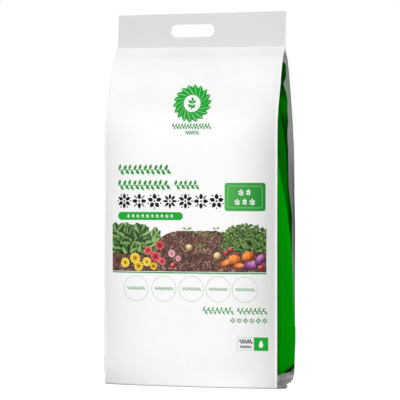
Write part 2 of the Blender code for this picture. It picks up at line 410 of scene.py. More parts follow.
white_film = film_finish("white_printed_polyethylene", "#F6F6F5", "#F1F1F1", toned=True)
# The bare film is greyed by painted shade from its tone attribute.
bare_film = film_finish("bare_polyethylene_over_compost", "#F0EDF0", "#E4E1E4", toned=True)
bag_film = placed("bag_film", film_mesh())
bag_film.data.materials.append(white_film)
bag_film.data.materials.append(bare_film)
bag_film.data.set_sharp_from_angle(angle=math.radians(50))
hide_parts("bag")
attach(bag_film, "root")


# The bottom weld: four layers of film welded flat across the foot of the tube, then folded back
# under the bag, where the fill's weight beds them into the base.
def folded_weld():
    """The welded strip and the fold that it hangs from, an L in section, as long as the channel."""
    thick, hung = weld_thickness, channel_depth + 0.2 * MM
    corners = [(0, 0), (weld_width, 0), (weld_width, thick), (thick, thick), (thick, hung), (0, hung)]
    mesh = bmesh.new()
    left = [mesh.verts.new((-weld_reach, y, z)) for y, z in corners]
    right = [mesh.verts.new((weld_reach, y, z)) for y, z in corners]
    mesh.faces.new(left)
    mesh.faces.new(right)
    for i in range(len(corners)):
        mesh.faces.new((left[i - 1], left[i], right[i], right[i - 1]))
    bmesh.ops.recalc_face_normals(mesh, faces=mesh.faces)
    return finished(mesh, "bottom_weld")


bottom_weld = placed("bottom_weld", folded_weld())
bottom_weld.data.materials.append(film_finish("white_welded_polyethylene", "#EDEDEC", "#E8E8E8"))
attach(bottom_weld, "root")


# The gussets' print: green ink on the film, from just behind the front crease to short of the back
# one, with round corners at the top. Painted shade darkens the ink and the bare film beyond it.
green_top = 19 * MM
green_front, green_back = 1.5 * MM, 83.5 * MM
green_corner = 5 * MM
ink_lift = 0.12 * MM
green_waver = [
    (0.0, 2.5), (0.11, 2.5), (0.15, 1.2), (0.18, 1.2), (0.2, 2.0), (0.218, 0.2), (0.24, -1.0), (0.28, -0.5),
    (0.303, 0.0), (0.3195, 1.2), (0.331, 1.0), (0.342, 1.8), (0.352, 0.6), (0.362, -1.5), (0.3738, 2.4),
    (0.39, 2.0),
]
tuck_edge = [(0.0, 12), (0.2, 19.0), (0.27, 21.6), (0.47, 26.2), (0.6, 27.4), (1.0, 28)]
ink_foot = [(0.0, 15.6), (0.27, 17.8), (0.6, 16.9), (1.0, 16.5)]


def ink_span(z):
    """Where the ink starts and ends on the gusset, as shares of the film's width at this height."""
    start, end = green_front, green_back + along(green_waver, z) * MM
    top_gap = body_height - z - green_top
    if top_gap < green_corner:
        turn = green_corner * (1 - math.sqrt(max(0.0, 1 - (1 - top_gap / green_corner) ** 2)))
        start += turn
        end -= turn
    return start / gusset_film, end / gusset_film


def painted_gusset_ink_shade(share, z):
    """Painted shade on the ink: dull over the folded upper film, darkest in the valley and at the tuck."""
    fold_line = (272 - 99 * share / 0.83) * MM
    folded = ease(-10 * MM, 14 * MM, z - fold_line) * (1 - ease(316 * MM, 336 * MM, z))
    folded += ease(340 * MM, 354 * MM, z)
    valley = ease(0.55, 0.86, share) * ease(135 * MM, 200 * MM, z) * (1 - ease(290 * MM, 320 * MM, z))
    tuck = ease(0.16, 0.24, share) * (1 - ease(-0.8 * MM, 0.8 * MM, z - along(tuck_edge, share) * MM))
    painted_crease_shade = (1 - ease(0.0, 0.14, share)) * (1 - ease(205 * MM, 245 * MM, z))
    painted_foot_shade = 1 - ease(15 * MM, 32 * MM, z)
    # The ink's painted brightness, after every painted shade.
    lit = (1 - 0.62 * folded) * (1 - 0.5 * valley) * (1 - 0.85 * tuck)
    return lit * (1 - 0.38 * painted_crease_shade) * (1 - 0.35 * painted_foot_shade)


def gusset_ink(side):
    """The printed area as a sheet that follows the gusset's columns, a little proud of the film."""
    mesh = bmesh.new()
    tone = mesh.verts.layers.float.new("tone")
    rows = 210
    grid = []
    for j in range(rows + 1):
        row = []
        for column in range(GUSSET_COLUMNS + 1):
            bottom = along(ink_foot, gusset_shares(Level(20 * MM))[column]) * MM
            top = body_height - green_top
            rise = 0.055 * j / 36 if j < 36 else 1 - 0.945 * (1 - (j - 36) / (rows - 36)) ** 1.2
            z = bottom + (top - bottom) * rise
            level = Level(z)
            start, end = ink_span(z)
            share = min(max(gusset_shares(level)[column], start), end)
            here = gusset_point(share, level, side)
            ahead = gusset_point(share + 0.01, level, side) - gusset_point(share - 0.01, level, side)
            higher, lower = Level(z + 0.7 * MM), Level(z - 0.7 * MM)
            above = gusset_point(share, higher, side) - gusset_point(share, lower, side)
            lift = ink_lift * (1 + 1.6 * (1 - ease(24 * MM, 45 * MM, z)))
            point = here + ahead.cross(above).normalized() * lift
            row.append(mesh.verts.new((side * point.x, point.y, point.z)))
            # Painted shade on the ink, kept in its tone layer.
            row[-1][tone] = painted_gusset_ink_shade(share, z)
        grid.append(row)
    for lower, upper in zip(grid, grid[1:]):
        for i in range(GUSSET_COLUMNS):
            mesh.faces.new((lower[i], lower[i + 1], upper[i + 1], upper[i])).smooth = True
    bmesh.ops.remove_doubles(mesh, verts=mesh.verts, dist=0.000002)
    if side < 0:
        bmesh.ops.reverse_faces(mesh, faces=mesh.faces)
    return finished(mesh, "gusset_ink")


# The green ink is darkened by the painted shade in its tone attribute.
green_ink = film_finish("green_ink_on_polyethylene", "#03B108", "#03A808", 0.8, 0.0, toned=True)
for side, name in ((1, "gusset_ink_right"), (-1, "gusset_ink_left")):
    ink = placed(name, gusset_ink(side))
    ink.data.materials.append(green_ink)
    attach(ink, "root")


# The header: all four layers of film welded flat into one plate, then punched with the hand slot.
header_bottom = body_height
slot_length, slot_height = 55 * MM, 15.6 * MM
slot_x, slot_z = -10 * MM, total_height - 21.3 * MM
header_lean = 1 * MM
header_film = film_finish("bare_welded_polyethylene", "#D3D3D3", "#D1D1D1")


def arc(x, z, radius, start, sweep, steps):
    """Points along an arc, its start and its sweep in degrees."""
    turns = [math.radians(start + sweep * i / steps) for i in range(steps + 1)]
    return [(x + radius * math.cos(turn), z + radius * math.sin(turn)) for turn in turns]


def slot_outline():
    """The hand slot's outline, with fully round ends."""
    radius = slot_height / 2
    reach = slot_length / 2 - radius
    right = arc(slot_x + reach, slot_z, radius, -90, 180, 20)
    return right + arc(slot_x - reach, slot_z, radius, 90, 180, 20)


def evaluated(piece):
    """An object's mesh with its modifiers applied."""
    return bpy.data.meshes.new_from_object(piece.evaluated_get(bpy.context.evaluated_depsgraph_get()))


def filled(outlines, fill_mode, unit=1.0):
    """Closed outlines of (x, z) as one flat mesh; an outline inside another is a hole in it."""
    curve = bpy.data.curves.new("outlines", "CURVE")
    curve.dimensions = "2D"
    curve.fill_mode = fill_mode
    for outline in outlines:
        spline = curve.splines.new("POLY")
        spline.points.add(len(outline) - 1)
        for point, (x, z) in zip(spline.points, outline):
            point.co = (x * unit, z * unit, 0, 1)
        spline.use_cyclic_u = True
    guide = placed("outlines", curve)
    flat = evaluated(guide)
    bpy.data.objects.remove(guide)
    return flat


def header_plate():
    """The plate with its slot as one flat mesh, cut into strips so that it bends."""
    half = header_width / 2
    rectangle = [
        (-half + 0.7 * MM, header_bottom + 1.2 * MM),
        (half, header_bottom - 0.5 * MM),
        (half + 0.6 * MM, total_height),
        (-half + 1.3 * MM, total_height - 0.8 * MM),
    ]
    flat = filled((rectangle, slot_outline()), "BOTH")
    mesh = bmesh.new()
    mesh.from_mesh(flat)
    top = [face for face in mesh.faces if face.normal.z < 0]
    bmesh.ops.delete(mesh, geom=top, context="FACES")
    bmesh.ops.remove_doubles(mesh, verts=mesh.verts, dist=0.00001)
    for i in range(1, 42):
        cut(mesh, 0, -half + header_width * i / 42)
    for i in range(1, 9):
        cut(mesh, 1, header_bottom + (total_height - header_bottom) * i / 9)
    for vertex in mesh.verts:
        x, z = vertex.co.x, vertex.co.y
        up = max(0.0, (z - header_bottom) / (total_height - header_bottom))
        wave = 0.5 * MM * math.sin(x / (31 * MM) + 0.6) * up
        vertex.co = (x, header_y - weld_thickness / 2 + header_lean * up**1.5 + wave, z)
    bmesh.ops.recalc_face_normals(mesh, faces=mesh.faces)
    mesh.to_mesh(flat)
    mesh.free()
    return flat


header_weld = placed("header_weld", header_plate())
header_weld.data.materials.clear()
header_weld.data.materials.append(header_film)
thick = header_weld.modifiers.new("layers", "SOLIDIFY")
thick.thickness = weld_thickness
thick.offset = 0
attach(header_weld, "root")


# The front's print. Each ink is a flat drawing in millimetres across the front, x from the bag's
# middle and z from the floor, which Geometry Nodes then lay on the film, a little proud of it.
def started_tree(name, inputs):
    """A Geometry Nodes tree with its named inputs, and the sockets that give them."""
    tree = bpy.data.node_groups.new(name, "GeometryNodeTree")
    for label, kind in inputs.items():
        tree.interface.new_socket(label, in_out="INPUT", socket_type="NodeSocket" + kind)
    tree.interface.new_socket("Print", in_out="OUTPUT", socket_type="NodeSocketGeometry")
    return tree, tree.nodes.new("NodeGroupInput").outputs


def ended_tree(tree, geometry, ink):
    """Ends a tree: what it made is realised and takes its ink."""
    real = node(tree, "GeometryNodeRealizeInstances", Geometry=geometry)
    inked = node(tree, "GeometryNodeSetMaterial", Geometry=real.outputs[0], Material=ink)
    end = tree.nodes.new("NodeGroupOutput")
    tree.links.new(inked.outputs[0], end.inputs["Print"])
    return tree


def sum_of(tree, operation, *values):
    """One step of arithmetic, as its output socket."""
    inputs = {f"_{i}": value for i, value in enumerate(values)}
    return node(tree, "ShaderNodeMath", {"operation": operation}, **inputs).outputs[0]


def laying_tree():
    """Drops each point of a flat drawing straight back on to the film, and lifts it along the normal."""
    inputs = {"Drawing": "Geometry", "Film": "Object", "Lift": "Float", "Ink": "Material"}
    tree, given = started_tree("lay_on_film", inputs)
    place = node(tree, "GeometryNodeInputPosition").outputs[0]
    film = node(tree, "GeometryNodeObjectInfo", {"transform_space": "ORIGINAL"}, Object=given["Film"])
    parts = node(tree, "ShaderNodeSeparateXYZ", Vector=place)
    start = node(tree, "ShaderNodeCombineXYZ", X=parts.outputs["X"], Y=-0.3, Z=parts.outputs["Z"])
    hit = node(
        tree,
        "GeometryNodeRaycast",
        Target_Geometry=film.outputs["Geometry"],
        Source_Position=start.outputs[0],
        Ray_Direction=(0, 1, 0),
        Ray_Length=1.0,
    )
    proud = sum_of(tree, "SUBTRACT", given["Lift"], parts.outputs["Y"])
    normal, scale, add = hit.outputs["Hit Normal"], {"operation": "SCALE"}, {"operation": "ADD"}
    out = node(tree, "ShaderNodeVectorMath", scale, Vector=normal, Scale=proud)
    lifted = node(tree, "ShaderNodeVectorMath", add, _0=hit.outputs["Hit Position"], _1=out.outputs[0])
    moved = node(tree, "GeometryNodeSetPosition", Geometry=given["Drawing"], Position=lifted.outputs[0])
    return ended_tree(tree, moved.outputs[0], given["Ink"])


lay_on_film = laying_tree()


def set_inputs(step, **values):
    """Fills a Geometry Nodes modifier's inputs by name."""
    items = step.node_group.interface.items_tree
    names = {item.name.replace(" ", "_"): item.identifier for item in items if item.in_out == "INPUT"}
    for name, value in values.items():
        step[names[name]] = value


def on_film(x, z):
    """Where a place measured in mm on a flat front lies on the crowned one, seen as in the photograph."""
    level = Level(z * MM)
    bow = level.crown * (1 - min(1.0, abs(x * MM) / level.half) ** level.fullness)
    forward = (-42 * MM - level.front + 0.55 * bow) / MM
    return x + 0.296 * forward, 246.5 + (z - 246.5) * (1 - forward / 2420)


def drawn(outlines):
    """Outlines in mm, set where they lie on the front, as one flat mesh."""
    return filled([[on_film(x, z) for x, z in outline] for outline in outlines], "FRONT", MM)


def cut_across(mesh, axes, weave):
    """Cuts a flat drawing into squares of this many mm, so that it can follow the film."""
    for axis in axes:
        values = [v.co[axis] for v in mesh.verts]
        place = math.ceil(min(values) / (weave * MM)) * weave * MM
        while place < max(values):
            cut(mesh, axis, place)
            place += weave * MM


def laid(name, drawing, ink, lift):
    """Lays one flat drawing on the film, as a printed piece that belongs to the bag."""
    piece = placed(name, drawing)
    step = piece.modifiers.new("lay", "NODES")
    step.node_group = lay_on_film
    set_inputs(step, Film=bag_film, Lift=lift * MM, Ink=ink)
    printed = evaluated(piece)
    piece.modifiers.clear()
    piece.data = printed
    piece.data.shade_smooth()
    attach(piece, "root")
    return piece


def face_front(mesh):
    """Turns every face of a flat drawing to the front."""
    for face in mesh.faces:
        face.normal_update()
        if face.normal.y > 0:
            face.normal_flip()


def lay_print(name, flat, ink, lift=0.12, weave=2.5):
    """Makes one printed piece from a flat mesh, cut fine enough to follow the film."""
    mesh = bmesh.new()
    mesh.from_mesh(flat)
    bmesh.ops.remove_doubles(mesh, verts=mesh.verts, dist=0.000005)
    cut_across(mesh, (0, 1), weave)
    for vertex in mesh.verts:
        vertex.co = (vertex.co.x, 0, vertex.co.y)
    bmesh.ops.triangulate(mesh, faces=mesh.faces)
    face_front(mesh)
    return laid(name, finished(mesh, name), ink, lift)


def ink_of(name, colour, darker, gloss=0.2):
    """Flexographic ink on film: nearly even, with the faint cloudiness of a thin layer of ink."""
    return film_finish(name, colour, darker, 0.5, gloss, 4.0)


def leaf(x, z, length, width, turn, curl=0.12):
    """A pointed leaf's outline from its stem end at (x, z), turned anticlockwise from +x, in degrees."""
    steps = 7
    c, s = math.cos(math.radians(turn)), math.sin(math.radians(turn))
    upper, lower = [], []
    for i in range(steps + 1):
        t = i / steps
        half = width / 2 * math.sin(math.pi * t**0.8) ** 0.9
        bend = curl * length * t * t
        upper.append((t * length, bend + half))
        lower.append((t * length, bend - half))
    outline = upper + list(reversed(lower[1:-1]))
    return [(x + c * u - s * v, z + s * u + c * v) for u, v in outline]


def ring(x, z, radius, steps):
    turns = [math.tau * i / steps for i in range(steps)]
    return [(x + radius * math.cos(turn), z + radius * math.sin(turn)) for turn in turns]


def rounded(left, right, bottom, top, radius, steps=6):
    """A rectangle's outline with round corners."""
    upper = arc(right - radius, top - radius, radius, 0, 90, steps)
    upper += arc(left + radius, top - radius, radius, 90, 90, steps)
    lower = arc(left + radius, bottom + radius, radius, 180, 90, steps)
    return upper + lower + arc(right - radius, bottom + radius, radius, 270, 90, steps)


def strewing_tree():
    """Sets a motif on every spot of a drawing, turned and sized as the spot says, with some chance in it."""
    inputs = {"Spots": "Geometry", "Motifs": "Collection", "Size Spread": "Float", "Turn Spread": "Float"}
    tree, given = started_tree("strew_motifs", inputs | {"Seed": "Int", "Ink": "Material"})
    points = node(tree, "GeometryNodeMeshToPoints", Mesh=given["Spots"])
    motifs = node(tree, "GeometryNodeCollectionInfo", Collection=given["Motifs"])
    motifs.inputs["Separate Children"].default_value = True
    motifs.inputs["Reset Children"].default_value = True
    size = node(tree, "GeometryNodeInputNamedAttribute", Name="size").outputs["Attribute"]
    turn = node(tree, "GeometryNodeInputNamedAttribute", Name="turn").outputs["Attribute"]
    less = sum_of(tree, "SUBTRACT", 1.0, given["Size Spread"])
    more = sum_of(tree, "ADD", 1.0, given["Size Spread"])
    back = sum_of(tree, "MULTIPLY", given["Turn Spread"], -1.0)
    seed, forth = given["Seed"], given["Turn Spread"]
    grown = node(tree, "FunctionNodeRandomValue", _2=less, _3=more, Seed=seed).outputs[1]
    swung = node(tree, "FunctionNodeRandomValue", _2=back, _3=forth, Seed=seed).outputs[1]
    scale = sum_of(tree, "MULTIPLY", size, grown)
    rotation = node(tree, "ShaderNodeCombineXYZ", Y=sum_of(tree, "ADD", turn, swung)).outputs[0]
    scales = node(tree, "ShaderNodeCombineXYZ", X=scale, Y=1.0, Z=scale).outputs[0]
    set_out = node(
        tree,
        "GeometryNodeInstanceOnPoints",
        Points=points.outputs[0],
        Instance=motifs.outputs[0],
        Pick_Instance=True,
        Rotation=rotation,
        Scale=scales,
    )
    shade = node(tree, "FunctionNodeRandomValue", Seed=seed).outputs[1]
    of_each = {"data_type": "FLOAT", "domain": "INSTANCE"}
    kind, strewn = "GeometryNodeStoreNamedAttribute", set_out.outputs[0]
    shaded = node(tree, kind, of_each, Geometry=strewn, Name="shade", Value=shade)
    return ended_tree(tree, shaded.outputs[0], given["Ink"])


strew_motifs = strewing_tree()


def motif(name, points, faces):
    """A flat motif in mm, each of its points (x, z, tone), where tone runs from dark 0 to light 1."""
    data = bpy.data.meshes.new(name)
    data.from_pydata([(x * MM, 0, z * MM) for x, z, _ in points], [], faces)
    mesh = bmesh.new()
    mesh.from_mesh(data)
    face_front(mesh)
    mesh.to_mesh(data)
    mesh.free()
    tones = data.attributes.new("tone", "FLOAT", "POINT")
    tones.data.foreach_set("value", [tone for *_, tone in points])
    return bpy.data.objects.new(name, data)


def as_motif(name, outlines):
    """A motif from closed outlines that don't overlap, all in one tone."""
    flat = filled(outlines, "FRONT", MM)
    points = [(v.co.x / MM, v.co.y / MM, 0.5) for v in flat.vertices]
    faces = [list(polygon.vertices) for polygon in flat.polygons]
    bpy.data.meshes.remove(flat)
    return motif(name, points, faces)


def strew_print(
    name, spots, motifs, ink, spread=0.0, swing=0.0, seed=1, lift=0.2, layers=0.0, sides=None, weave=0.0
):
    """Prints motifs at spots of (x, z, size, turn in degrees); later spots lie over earlier ones."""
    choice = bpy.data.collections.new(name)
    for each in motifs:
        choice.objects.link(each)
    data = bpy.data.meshes.new(name)
    places = [on_film(x, z) for x, z, *_ in spots]
    steps = [layers * MM * i / max(1, len(spots) - 1) for i in range(len(spots))]
    data.from_pydata([(x * MM, -step, z * MM) for (x, z), step in zip(places, steps)], [], [])
    for label, column, unit in (("size", 2, 1.0), ("turn", 3, math.tau / 360)):
        values = data.attributes.new(label, "FLOAT", "POINT")
        values.data.foreach_set("value", [spot[column] * unit for spot in spots])
    piece = placed(name, data)
    strew = piece.modifiers.new("strew", "NODES")
    strew.node_group = strew_motifs
    set_inputs(strew, Motifs=choice, Size_Spread=spread, Turn_Spread=math.radians(swing), Seed=seed, Ink=ink)
    drawing = evaluated(piece)
    bpy.data.objects.remove(piece)
    mesh = bmesh.new()
    mesh.from_mesh(drawing)
    if sides:
        cut(mesh, 0, sides[0] * MM, -1)
        cut(mesh, 0, sides[1] * MM, 1)
    if weave:
        cut_across(mesh, (0, 2), weave)
    mesh.to_mesh(drawing)
    mesh.free()
    return laid(name, drawing, ink, lift)


# The heading: two rows of green vine and a row of black rosettes across the upper front. Each is one
# layer of flexo ink on the white film.
text_green = ink_of("green_flexo_ink", "#2B9A38", "#269134", 0.08)
text_black = ink_of("black_flexo_ink", "#0E0E0E", "#0A0A0A", 0.08)
bright_green = ink_of("bright_green_flexo_ink", "#1FA636", "#1C9F33", 0.08)


def stem_leaves(leaves, stem):
    """Outlines of a stem with leaves that start a hair away from it, so that none overlap."""
    return [stem] + [leaf(*each) for each in leaves]


def upright_sprig(name, height, pairs, length, width, sweep):
    """A small upright sprig: a thin stem, leaves in pairs beside it and one at its tip."""
    half = width * 0.2
    tip = height / 2 - length * 0.75
    stem = [(-half, -height / 2), (half, -height / 2), (half, tip), (-half, tip)]
    leaves = [(0, tip - 0.1, length * 0.8, width, 90)]
    for i in range(pairs):
        z = -height / 2 + (0.12 + 0.66 * i / pairs) * height
        leaves.append((half + 0.05, z, length, width, sweep))
        leaves.append((-half - 0.05, z + 0.06 * height, length, width, 180 - sweep))
    return as_motif(name, stem_leaves(leaves, stem))


joint_length = 6.4


def vine(name, length, width, sweep):
    """One joint of a vine: its stem, one leaf above it and one below."""
    stem = [(-3.22, -0.45), (3.22, -0.45), (3.22, 0.45), (-3.22, 0.45)]
    leaves = [(-2.4, 0.5, length, width, sweep), (0.4, -0.5, length, width, -sweep)]
    return as_motif(name, stem_leaves(leaves, stem))


def vine_spots(left, right, z, size):
    """Joints of a vine, end to end from left to right in mm."""
    joints = max(1, round((right - left) / (joint_length * size)))
    pitch = (right - left) / joints
    return [(left + pitch * (i + 0.5), z, pitch / joint_length, 0) for i in range(joints)]


def rosette(name, radius, arms, leaf_width, bar=0.0, beads=True):
    """A symmetrical ornament: leaves round an open middle, with beads or bars on the lines between."""
    outlines = [ring(0, 0, radius * 0.13, 16)]
    for i in range(arms):
        turn = 360 * i / arms + 90
        c, s = math.cos(math.radians(turn)), math.sin(math.radians(turn))
        outlines.append(leaf(c * radius * 0.24, s * radius * 0.24, radius * 0.76, leaf_width, turn, 0.0))
        side = math.radians(turn + 180 / arms)
        c, s = math.cos(side), math.sin(side)
        if bar:
            near, far, half = 0.45 * radius, 0.78 * radius, bar * 0.5
            corners = ((near, -half), (far, -half), (far, half), (near, half))
            outlines.append([(c * u - s * v, s * u + c * v) for u, v in corners])
        if beads:
            outlines.append(ring(c * radius * 0.9, s * radius * 0.9, radius * 0.1, 12))
    return as_motif(name, outlines)


vines = [vine("vine_a", 6.8, 3.4, 62), vine("vine_b", 6.4, 3.7, 52)]
slim_vines = [vine("slim_vine_a", 6.0, 2.3, 60), vine("slim_vine_b", 5.6, 2.6, 52)]
heading_vines = vine_spots(-88.6, -23.5, 258.6, 1.0) + vine_spots(-88.8, -24.0, 240.3, 1.0)
heading_vines += vine_spots(-17.5, 12.1, 240.3, 1.0)
strew_print("heading_vines", heading_vines, vines, text_green)
rosette_forms = [(6, 4.2), (4, 4.6, 1.5), (5, 5.0), (8, 3.1, 0.0, False)]
rosettes = [rosette(f"rosette_{letter}", 9.2, *form) for letter, form in zip("abcd", rosette_forms)]
rosette_row = [(-80.5 + 19.2 * i, 221.3, 1.0, 0) for i in range(7)]
strew_print("heading_rosettes", rosette_row, rosettes, text_black)


# The emblem at the top: a wreath of leaves that lean round its open middle, with a sprig standing in
# it, printed in the bright green. Two short vines run under it.
def half_leaf(length, width, side):
    """One half of a leaf that lies along +x, a hair to its side of the midrib."""
    edge = []
    for i in range(11):
        bulge = math.sin(math.pi * (i / 10) ** 0.8) ** 0.75
        edge.append((length * i / 10, side * (0.2 + width / 2 * bulge)))
    return edge + [(length, side * 0.18), (0.0, side * 0.18)]


wreath_leaf = as_motif("wreath_leaf", [half_leaf(15.0, 7.4, 1), half_leaf(15.0, 7.4, -1)])
wreath_x, wreath_z, wreath_radius, leaf_count = 4.0, 337.5, 10.4, 18
wreath = []
for i in range(leaf_count):
    around = 360 * i / leaf_count
    c, s = math.cos(math.radians(around)), math.sin(math.radians(around))
    wreath.append((wreath_x + wreath_radius * c, wreath_z + wreath_radius * s, 1.0, -around - 48))
strew_print("emblem_wreath", wreath, [wreath_leaf], bright_green, layers=0.1, weave=3.0)
standing_sprig = upright_sprig("standing_sprig", 15.0, 2, 6.0, 3.2, 48)
strew_print("emblem_sprig", [(wreath_x, wreath_z, 1.0, 0)], [standing_sprig], bright_green)
emblem_vines = vine_spots(-20.5, 27.0, 310.2, 0.55) + vine_spots(-4.0, 12.5, 302.8, 0.42)
strew_print("emblem_vines", emblem_vines, vines, text_green)


# The badge and the pill: panels of solid green ink with white sprigs on them. The badge also has a
# thin pale border line, and a screen of dots makes its green deeper towards the right.
def ramped(material, value, stops):
    """Colours a material by a value, along a ramp of places with their colours."""
    tree = material.node_tree
    ramp = node(tree, "ShaderNodeValToRGB", Fac=value)
    elements = ramp.color_ramp.elements
    elements[0].position, elements[1].position = stops[0][0], stops[-1][0]
    for place, _ in stops[1:-1]:
        elements.new(place)
    for element, (_, colour) in zip(elements, stops):
        element.color = linear(colour)
    tree.links.new(ramp.outputs[0], tree.nodes["Principled BSDF"].inputs["Base Color"])
    return material


def badge_ink():
    """Green that a flexo screen prints lighter at the left."""
    material = ink_of("graded_green_flexo_ink", "#35A33B", "#2F9D37", 0.08)
    tree = material.node_tree
    place = node(tree, "ShaderNodeTexCoord").outputs["Object"]
    parts = node(tree, "ShaderNodeSeparateXYZ", Vector=place)
    grade = node(tree, "ShaderNodeMapRange", Value=parts.outputs["X"])
    grade.inputs["From Min"].default_value = 46 * MM
    grade.inputs["From Max"].default_value = 98 * MM
    return ramped(material, grade.outputs[0], [(0.0, "#4CAE4E"), (1.0, "#188430")])


white_ink = ink_of("white_flexo_ink", "#F4F6F2", "#EEF1EC")
pale_line = ink_of("pale_green_flexo_ink", "#A3CDA6", "#9CC7A0")
lay_print("badge_panel", drawn([rounded(44.5, 93.5, 209.7, 243.2, 3.2)]), badge_ink())
border = [rounded(48.3, 89.8, 213.4, 239.5, 2.6), rounded(48.75, 89.35, 213.85, 239.05, 2.2)]
lay_print("badge_border", drawn(border), pale_line, 0.24)
white_leaves = [
    upright_sprig("white_sprig_a", 8.2, 2, 3.6, 1.7, 35),
    upright_sprig("white_sprig_b", 8.2, 2, 3.3, 1.9, 55),
]
badge_rows = [(x, 231.6, 1.0, 0) for x in (64.6, 73.4)] + [(x, 220.4, 1.0, 0) for x in (60.0, 69.0, 78.0)]
strew_print("badge_leaves", badge_rows, white_leaves, white_ink, lift=0.26)
lay_print("pill_panel", drawn([rounded(-88.7, -6.9, 198.6, 208.2, 4.75, 10)]), bright_green)
pill_row = [(-75.0 + 6.05 * i, 203.4, 0.58, 0) for i in range(10)]
strew_print("pill_leaves", pill_row, white_leaves, white_ink, lift=0.26)


# The picture: a vegetable bed. Dark soil runs across it, with hedges, blooms and crops at both
# sides and seedlings in the middle. The shading is part of the print, as in any printed picture.
def picture_ink(name, dark, middle, light):
    """Printed picture colours: a motif's own tone, with some difference from one to the next."""
    material = ink_of(name, middle, middle)
    tree = material.node_tree
    tone = node(tree, "ShaderNodeAttribute", {"attribute_name": "tone"}).outputs["Fac"]
    shade = node(tree, "ShaderNodeAttribute", {"attribute_name": "shade"}).outputs["Fac"]
    mixed = sum_of(tree, "ADD", tone, sum_of(tree, "MULTIPLY_ADD", shade, 0.34, -0.17))
    return ramped(material, mixed, [(0.05, dark), (0.5, middle), (0.95, light)])


def soil_ink():
    """Crumbly soil as printed: crumbs of 1 to 3 mm, dark between them and pale specks on top."""
    material = ink_of("soil_picture_ink", "#4B3A30", "#2A1D17")
    tree = material.node_tree
    place = node(tree, "ShaderNodeTexCoord").outputs["Object"]
    crumbs = node(tree, "ShaderNodeTexVoronoi", Vector=place, Scale=1 / (2.2 * MM), Randomness=1.0)
    clods = node(tree, "ShaderNodeTexNoise", Vector=place, Scale=1 / (7 * MM), Detail=4.0, Roughness=0.65)
    both = sum_of(tree, "MULTIPLY_ADD", crumbs.outputs["Distance"], -0.55, clods.outputs["Fac"])
    return ramped(material, both, [(0.08, "#33201A"), (0.3, "#6C4537"), (0.5, "#B38D7C")])


def soil_top(x):
    """Height of the soil's rough upper edge."""
    mound = 186.0 - 9.0 * ease(30, 70, x) - 12.0 * ease(-10, -50, x)
    return mound + 1.5 * noise.noise(Vector((x / 6, 4.2, 0))) + 0.6 * noise.noise(Vector((x / 1.6, 1.2, 0)))


picture_left, picture_right = -96.0, 94.4
soil_across = [picture_right - 190.4 * i / 150 for i in range(151)]
soil_edge = [(picture_left, 137.5), (picture_right, 137.5)] + [(x, soil_top(x)) for x in soil_across]
lay_print("picture_soil", drawn([soil_edge]), soil_ink())


def toned_leaf(name, length, width, bend, fullness=0.8):
    """A leaf with a pale midrib, its near half lighter than its far half."""
    steps = 8
    points, faces = [], []
    for i in range(steps + 1):
        t = i / steps
        half = width / 2 * math.sin(math.pi * min(t, 0.999) ** 0.8) ** fullness
        x, z = t * length, bend * length * t * t
        points += [(x, z, 0.85), (x, z + half, 0.55), (x, z, 0.42), (x, z - half, 0.16)]
    for i in range(steps):
        a, b = 4 * i, 4 * i + 4
        faces += [(a, b, b + 1, a + 1), (a + 2, a + 3, b + 3, b + 2)]
    return motif(name, points, faces)


def bloom(name, radius, petals, centre=0.28):
    """An open bloom seen from above: a dark middle, and petals that pale towards their tips."""
    points, faces = [(0, 0, 0.0)], []
    ring_points = 10
    for i in range(ring_points):
        a = math.tau * i / ring_points
        points.append((centre * radius * math.cos(a), centre * radius * math.sin(a), 0.08))
    faces += [(0, 1 + i, 1 + (i + 1) % ring_points) for i in range(ring_points)]
    for i in range(petals):
        a = math.tau * i / petals
        wide = math.pi / petals
        start = len(points)
        for share, spread, tone in ((0.2, 0.5, 0.3), (0.6, 0.98, 0.62), (0.88, 0.8, 0.8), (1.0, 0.3, 0.95)):
            r = share * radius
            for side in (-1, 0, 1):
                b = a + side * wide * spread
                points.append((r * math.cos(b), r * math.sin(b), tone - 0.16 * abs(side)))
        for j in range(3):
            for k in range(2):
                p = start + 3 * j + k
                faces.append((p, p + 1, p + 4, p + 3))
    return motif(name, points, faces)


def fruit(name, wide, tall, ribs=0):
    """A round fruit lit from the upper left, with ribs as on a squash where it has them."""
    points, faces = [(0, 0, 0.62)], []
    rings, around = 6, 22
    for j in range(1, rings + 1):
        r = j / rings
        for i in range(around):
            a = math.tau * i / around
            x, z = r * math.cos(a), r * math.sin(a)
            depth = math.sqrt(max(0.0, 1 - r * r * 0.98))
            tone = 0.12 + 0.75 * max(0.0, (-0.45 * x + 0.55 * z + 0.7 * depth))
            if ribs:
                across = x / math.sqrt(max(0.05, 1 - z * z * 0.8))
                tone -= 0.16 * abs(math.sin(ribs * math.asin(max(-1.0, min(1.0, across)))))
            points.append((x * wide / 2, z * tall / 2, tone))
    faces += [(0, 1 + i, 1 + (i + 1) % around) for i in range(around)]
    for j in range(rings - 1):
        for i in range(around):
            a, b = 1 + j * around, 1 + (j + 1) * around
            k = (i + 1) % around
            faces.append((a + i, b + i, b + k, a + k))
    return motif(name, points, faces)


def crest(x, left, right, low, top):
    """The height of a hedge whose top bulges, fullest in its middle."""
    return low + (top - low) * math.sin(math.pi * (0.12 + 0.76 * (x - left) / (right - left))) ** 0.45


def hedge_spots(count, seed, left, right, low, top):
    """Leaves by chance in a hedge, the same each run: their places, sizes and turns."""
    chance = random.Random(seed)
    spots = []
    for _ in range(count):
        x = chance.uniform(left, right)
        z = chance.uniform(low, crest(x, left, right, low, top))
        spots.append((x, z, chance.uniform(0.75, 1.1), chance.uniform(-175, -5)))
    return spots


def hedge_shade(start, end, *outline):
    """The dark depth of a hedge between its leaves, as an outline a little inside its crest."""
    steps = [start + (end - start) * i / 24 for i in range(25)]
    tops = [(x, crest(x, *outline) - 3.0 + 1.2 * noise.noise(Vector((x / 2.5, 8.1, 0)))) for x in steps]
    return [(start, outline[2]), *tops, (end, outline[2])]


